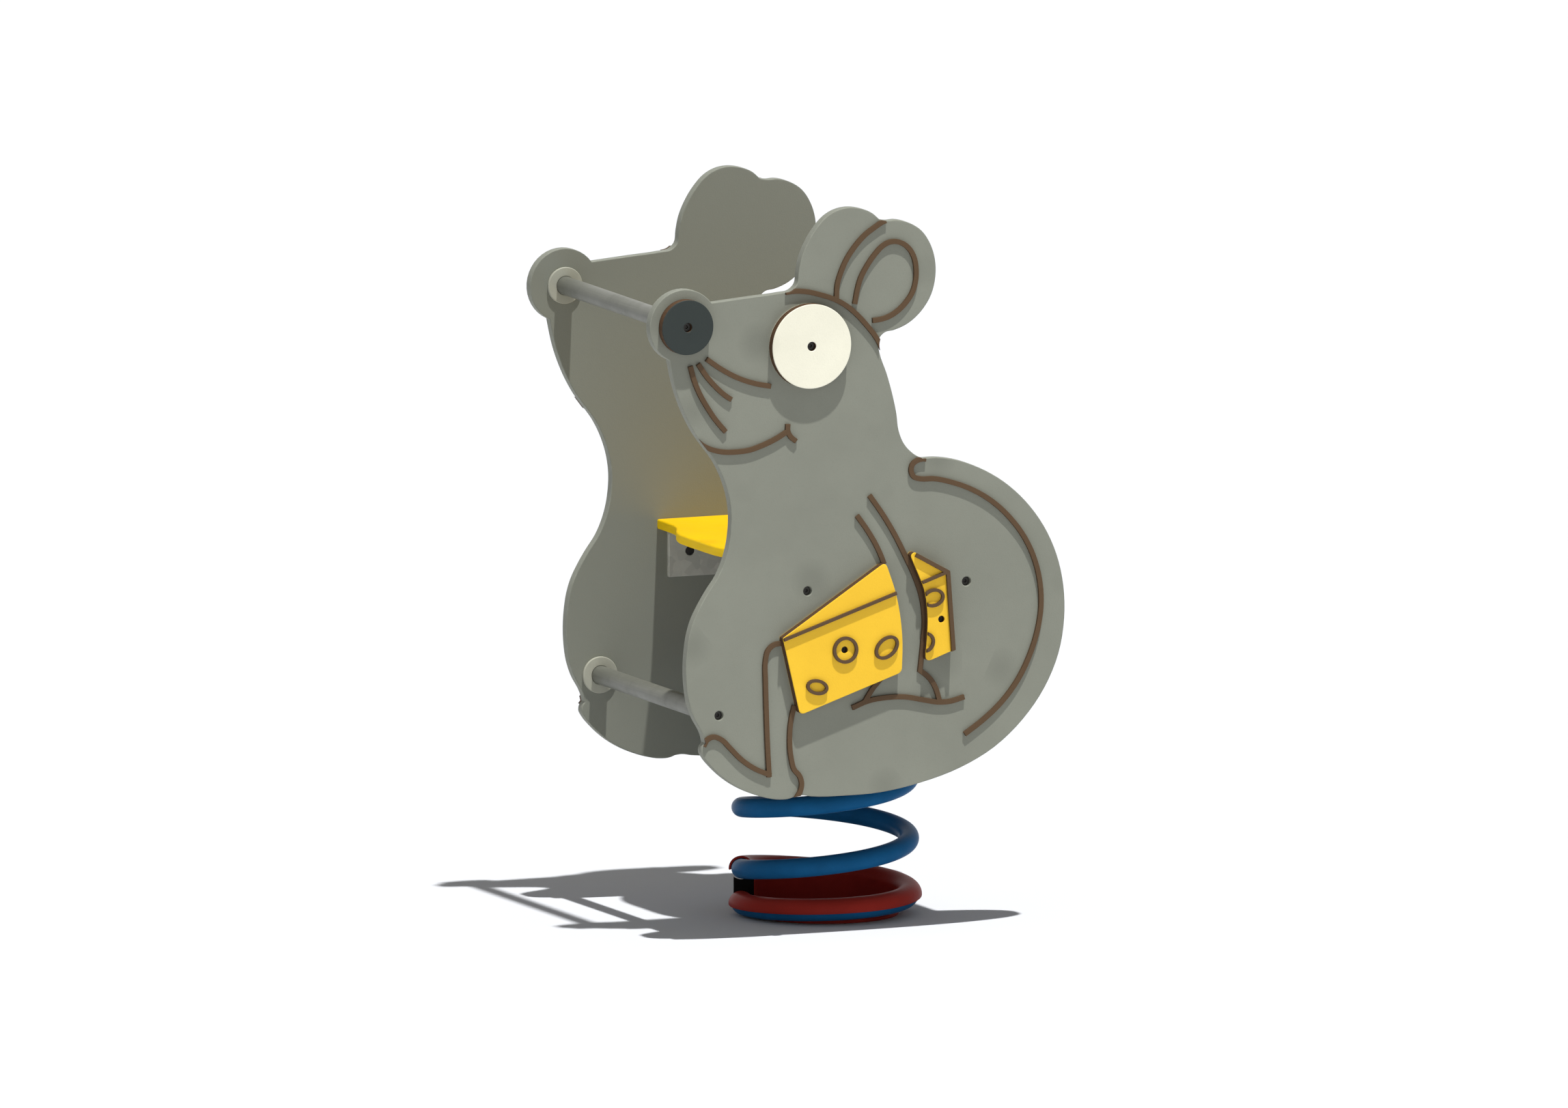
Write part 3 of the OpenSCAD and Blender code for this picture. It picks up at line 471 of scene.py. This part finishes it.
def roundEdges(piece, width, steps, angle):
    rounding = piece.modifiers.new("rounding", "BEVEL")
    rounding.width = width
    rounding.segments = steps
    rounding.limit_method = "ANGLE"
    rounding.angle_limit = angle
    return rounding


def softenNode(name, width, steps, axis):
    # a copy of the node with its loose triangles merged and its sharp edges rounded
    mesh = frame["nodes"][name].data.copy()
    shape = bmesh.new()
    shape.from_mesh(mesh)
    bmesh.ops.remove_doubles(shape, verts=shape.verts, dist=mergeWithin)
    if axis is None:
        bmesh.ops.dissolve_limit(shape, angle_limit=flatAngle, verts=shape.verts, edges=shape.edges)
    else:
        shape.normal_update()
        roundSheet(shape, width, steps, axis)
        shape.normal_update()
        for edge in shape.edges:
            edge.smooth = edge.calc_face_angle(0) < sharpAngle
    for face in shape.faces:
        face.smooth = True
    shape.to_mesh(mesh)
    shape.free()
    mesh.attributes.active_color_index = -1
    piece = bpy.data.objects.new("soft_" + name, mesh)
    bpy.context.scene.collection.objects.link(piece)
    if axis is None:
        roundEdges(piece, width, steps, sharpAngle).use_clamp_overlap = False
    flatten(piece)
    finishPiece(piece, bodyOf[name], slotOf[name])
    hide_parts(name)


softened = {name: edgeWork[end] for name in sorted(frame["nodes"]) for end in edgeWork if name.endswith(end)}
for name, work in softened.items():
    softenNode(name, *work)
print("edges rounded on", len(softened), "nodes")


coil = {
    "wire": 0.023,
    "outer": 0.220,
    "pitch": 0.0728,
    "closedPitch": 0.020,
    "turns": 6.5,
    "startDegrees": 157,
    "rampStart": 0.35,       # turns from each end between which the pitch opens
    "rampEnd": 0.85,
    "lift": 0.0003,          # clearance of the wire's ends from ground and bracket
    "ringsPerTurn": 96,
    "sides": 40,
    "endRound": 0.0018,
    "endSteps": 6,
    "heldEnd": 0.055,        # height at each end that stays with its cup when the spring bends
}
wireRadius = coil["wire"] / 2
coilRadius = coil["outer"] / 2 - wireRadius
rampMiddle = (coil["rampStart"] + coil["rampEnd"]) / 2
coilBase = wireRadius + coil["lift"]
extraPitch = coil["pitch"] - coil["closedPitch"]
coilRise = coil["closedPitch"] * coil["turns"] + extraPitch * (coil["turns"] - 2 * rampMiddle)
webHeight = 2 * coilBase + coilRise


def endRise(turn):
    # height gained from the wire's end: even and slow in the closed turn, a ramp of growing pitch,
    # then even at the free pitch
    ramp = (turn - coil["rampStart"]) ** 2 / 2 / (coil["rampEnd"] - coil["rampStart"])
    extra = np.where(turn < coil["rampStart"], 0, np.where(turn < coil["rampEnd"], ramp, turn - rampMiddle))
    return coil["closedPitch"] * turn + extraPitch * extra


def coilHeight(turn):
    # the lower half climbs by endRise, and the upper half mirrors it from the top
    half = coil["turns"] / 2
    climbed = np.where(turn < half, endRise(turn), coilRise - endRise(coil["turns"] - turn))
    return coilBase + climbed


def coilAngle(turn):
    return np.radians(coil["startDegrees"] + 360 * turn)


def meshPiece(name, points, faces):
    # an object from a grid of points and its faces, smooth and facing outward
    mesh = bpy.data.meshes.new(name)
    mesh.from_pydata(points.reshape(-1, 3).tolist(), [], faces)
    mesh.validate()
    shape = bmesh.new()
    shape.from_mesh(mesh)
    bmesh.ops.recalc_face_normals(shape, faces=shape.faces)
    for face in shape.faces:
        face.smooth = True
    shape.to_mesh(mesh)
    shape.free()
    piece = bpy.data.objects.new(name, mesh)
    bpy.context.scene.collection.objects.link(piece)
    return piece


def gridFaces(rows, columns):
    # quads of a grid that closes on itself along its columns
    row, column = np.meshgrid(np.arange(rows - 1), np.arange(columns), indexing="ij")
    right = (column + 1) % columns
    corners = [row * columns + column, row * columns + right,
               (row + 1) * columns + right, (row + 1) * columns + column]
    return np.stack(corners, -1).reshape(-1, 4).tolist()


def wirePiece(name, fromTurn, toTurn, roundStart, roundEnd):
    # a circle carried square to the helix; near a free end its radius follows a quarter circle
    count = int((toTurn - fromTurn) * coil["ringsPerTurn"]) + 1
    turn = np.linspace(fromTurn, toTurn, count)
    reach = coil["endRound"] / (2 * math.pi * coilRadius)
    easing = reach * (1 - np.cos(np.linspace(0, math.pi / 2, coil["endSteps"])))
    if roundStart:
        turn = np.concatenate([fromTurn + easing, turn[1:]])
    if roundEnd:
        turn = np.concatenate([turn[:-1], toTurn - easing[::-1]])
    inset = np.zeros(len(turn))
    if roundStart:
        inset = np.maximum(inset, 1 - (turn - fromTurn) / reach)
    if roundEnd:
        inset = np.maximum(inset, 1 - (toTurn - turn) / reach)
    radius = wireRadius - coil["endRound"] * (1 - np.sqrt(1 - np.clip(inset, 0, 1) ** 2))
    angle = coilAngle(turn)
    out = np.stack([np.cos(angle), np.sin(angle), np.zeros_like(angle)], -1)
    centre = coilRadius * out + np.stack([0 * angle, 0 * angle, coilHeight(turn)], -1)
    step = 1e-4              # of a turn, for the slope
    climb = (coilHeight(turn + step) - coilHeight(turn - step)) / (2 * step)
    along = 2 * math.pi * coilRadius * np.stack([-np.sin(angle), np.cos(angle), 0 * angle], -1)
    along[:, 2] = climb
    along /= np.linalg.norm(along, axis=1, keepdims=True)
    up = np.cross(along, out)
    around = np.linspace(0, 2 * math.pi, coil["sides"], endpoint=False)
    rings = (centre[:, None] + radius[:, None, None]
             * (np.cos(around)[None, :, None] * out[:, None] + np.sin(around)[None, :, None] * up[:, None]))
    sides = coil["sides"]
    last = (len(turn) - 1) * sides
    faces = gridFaces(len(turn), sides)
    faces.append(list(range(sides)))
    faces.append(list(range(last + sides - 1, last - 1, -1)))
    return meshPiece(name, rings, faces)


halfTurns = coil["turns"] / 2
halfHeight = webHeight / 2
lowerCoil = wirePiece("spring_lower_half", 0, halfTurns, True, False)
upperCoil = wirePiece("spring_upper_half", halfTurns, coil["turns"], False, True)
bendStart, bendEnd = coil["heldEnd"], webHeight - coil["heldEnd"]
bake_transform(lowerCoil, "base", "spring", start=(0, 0, bendStart), end=(0, 0, halfHeight))
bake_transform(upperCoil, "spring", "rider", start=(0, 0, halfHeight), end=(0, 0, bendEnd))
for half in (lowerCoil, upperCoil):
    finishPiece(half, None, "blue_painted_steel")
    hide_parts("spring")
print("spring:", coil["turns"], "turns,", round(webHeight * 1000), "mm to the bracket")

cup = {
    "thick": 0.0025,
    "gap": 0.0009,
    "plate": 0.004,
    "stop": 0.003,           # web that the wire's end stands against
    "lipEndDegrees": -8,
    "rings": 150,
    "wallSteps": 6,
    "lipSteps": 44,
    "tipSteps": 7,
    "tipLeast": 1e-5,
    "edgeRound": 0.0005,
    "edgeSteps": 2,
    "edgeDegrees": 60,
}


def cupSurface():
    # a band carried along the coil: its middle line climbs a straight hub wall, then curls over the
    # wire; half its thickness goes to each side and closes in a half circle at the lip's end
    stopReach = 2 * cup["gap"] + cup["stop"] + coil["lift"]
    hubRadius = coilRadius - wireRadius - cup["gap"] - cup["thick"]
    turn = np.linspace(0, 1 - math.asin(stopReach / hubRadius) / (2 * math.pi), cup["rings"])
    radius = wireRadius + cup["gap"] + cup["thick"] / 2
    half = cup["thick"] / 2
    wall = np.linspace(0, 1, cup["wallSteps"], endpoint=False)
    tipAngle = half / radius
    lipEnd = math.radians(cup["lipEndDegrees"]) + tipAngle
    lip = np.linspace(math.pi, lipEnd, cup["lipSteps"], endpoint=False)
    tip = np.linspace(0, math.pi / 2, cup["tipSteps"])
    lip = np.concatenate([lip, lipEnd - tipAngle * np.sin(tip)])
    width = np.concatenate([np.full(cup["wallSteps"] + cup["lipSteps"], half), half * np.cos(tip)])
    width = np.maximum(width, cup["tipLeast"])
    height = coilHeight(turn)[:, None]
    foot = cup["plate"] - height
    lineOut = np.concatenate([np.full((len(turn), cup["wallSteps"]), -radius),
                              np.tile(radius * np.cos(lip), (len(turn), 1))], 1)
    lineUp = np.concatenate([foot * (1 - wall), np.tile(radius * np.sin(lip), (len(turn), 1))], 1)
    normalOut = np.concatenate([np.full(cup["wallSteps"], -1.0), np.cos(lip)])
    normalUp = np.concatenate([np.zeros(cup["wallSteps"]), np.sin(lip)])
    sides = [(lineOut + sign * width * normalOut, lineUp + sign * width * normalUp) for sign in (1, -1)]
    sectionOut = np.concatenate([sides[0][0], sides[1][0][:, ::-1]], 1)
    sectionUp = np.concatenate([sides[0][1], sides[1][1][:, ::-1]], 1)
    angle = coilAngle(turn)[:, None]
    reach = coilRadius + sectionOut
    points = np.stack([reach * np.cos(angle), reach * np.sin(angle), height + sectionUp], -1)
    columns = points.shape[1]
    faces = gridFaces(len(turn), columns)
    near = np.arange(columns // 2 - 1)
    for first in (0, (len(turn) - 1) * columns):
        strip = np.stack([near, near + 1, columns - 2 - near, columns - 1 - near], -1) + first
        faces += strip.tolist()
    return points, faces


def turnOver(points):
    # half a turn about the level axis through the coil's middle
    angle = float(coilAngle(halfTurns))
    axis = np.array([math.cos(angle), math.sin(angle)])
    flat = points[..., :2]
    flipped = 2 * (flat @ axis)[..., None] * axis - flat
    return np.concatenate([flipped, webHeight - points[..., 2:]], -1)


cupPoints, cupFaces = cupSurface()
for node, points in (("lower_spring_cup", cupPoints), ("upper_spring_cup", turnOver(cupPoints))):
    piece = meshPiece("soft_" + node, points, cupFaces)
    finishPiece(piece, bodyOf[node], slotOf[node])
    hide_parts(node)
    roundEdges(piece, cup["edgeRound"], cup["edgeSteps"], math.radians(cup["edgeDegrees"]))
    flatten(piece)
print("spring cups: two")


ground = {
    "half": 14.0,
    "drop": 0.0004,
    "colour": (0.695, 0.705, 0.73, 1),
    "roughness": 0.9,
    "shine": 0.1,
}
floorCorners = np.array([[-1, -1, 0], [1, -1, 0], [1, 1, 0], [-1, 1, 0]]) * ground["half"]
floorCorners[:, 2] = -ground["drop"]
floorMesh = bpy.data.meshes.new("floor")
floorMesh.from_pydata(floorCorners.tolist(), [], [[0, 1, 2, 3]])
floor = bpy.data.objects.new("floor", floorMesh)
bpy.context.scene.collection.objects.link(floor)
floorFinish, floorTree, floorShader, floorCoords = startFinish("paleFloor")
floorShader.inputs["Base Color"].default_value = ground["colour"]
floorShader.inputs["Roughness"].default_value = ground["roughness"]
floorShader.inputs["Specular IOR Level"].default_value = ground["shine"]
floorMesh.materials.append(floorFinish)

studio = {
    "sky": 0.215,
    "sun": 4.0,
    "sunFrom": (0.04, -0.274, 1.0),
    "sunSpread": 1.1,
    "fill": 0.33,
    "fillFrom": (-0.39, -0.90, 0.15),
    "fillSpread": 40,
}


def sunLamp(name, strength, towards, spread):
    # a far lamp in one direction, its disc as many degrees wide as the spread
    lamp = bpy.data.lights.new(name, "SUN")
    lamp.energy = strength
    lamp.angle = math.radians(spread)
    holder = bpy.data.objects.new(name, lamp)
    bpy.context.scene.collection.objects.link(holder)
    flat = math.hypot(towards[0], towards[1])
    holder.rotation_euler = (math.atan2(flat, towards[2]), 0, math.atan2(towards[0], -towards[1]))


sunLamp("keyLight", studio["sun"], studio["sunFrom"], studio["sunSpread"])
sunLamp("fillLight", studio["fill"], studio["fillFrom"], studio["fillSpread"])

world = bpy.data.worlds.new("studio")
bpy.context.scene.world = world
world.use_nodes = True
sky = world.node_tree
skyLight = sky.nodes["Background"]
skyLight.inputs["Color"].default_value = (1, 1, 1, 1)
rays = sky.nodes.new("ShaderNodeLightPath")
seen = calc(sky, "ADD", rays.outputs["Is Camera Ray"],
            calc(sky, "ADD", rays.outputs["Is Glossy Ray"], rays.outputs["Is Transmission Ray"]), True)
sky.links.new(remap(sky, seen, 0.0, 1.0, studio["sky"], 1.0), skyLight.inputs["Strength"])

view = {
    "azimuth": -23.0,
    "elevation": 8.4,
    "perPixel": 0.0008,        # metres of the object in one pixel of the photograph
    "pixelsWide": 2296,
    "pixelsHigh": 1623,
    "originAt": (1208.4, 1332.5),  # pixel of the spring's axis at groundLift
    "groundLift": 0.0041,
    "distance": 6.0,
    "clipEnd": 60,
}
turned, raised = math.radians(view["azimuth"]), math.radians(view["elevation"])
rightward = np.array([math.cos(turned), math.sin(turned), 0])
level = np.array([math.sin(turned), -math.cos(turned), 0])
backward = level * math.cos(raised) + np.array([0, 0, math.sin(raised)])
upward = np.cross(backward, rightward)
shiftRight = (view["pixelsWide"] / 2 - view["originAt"][0]) * view["perPixel"]
shiftUp = (view["originAt"][1] - view["pixelsHigh"] / 2) * view["perPixel"]
aim = np.array([0, 0, view["groundLift"]]) + shiftRight * rightward + shiftUp * upward
lens = bpy.data.cameras.new("camera")
lens.type = "ORTHO"
lens.ortho_scale = view["pixelsWide"] * view["perPixel"]
lens.clip_end = view["clipEnd"]
camera = bpy.data.objects.new("camera", lens)
bpy.context.scene.collection.objects.link(camera)
camera.location = aim + view["distance"] * backward
camera.rotation_euler = (math.pi / 2 - raised, 0, turned)
bpy.context.scene.camera = camera
bpy.context.scene.view_settings.view_transform = "Standard"
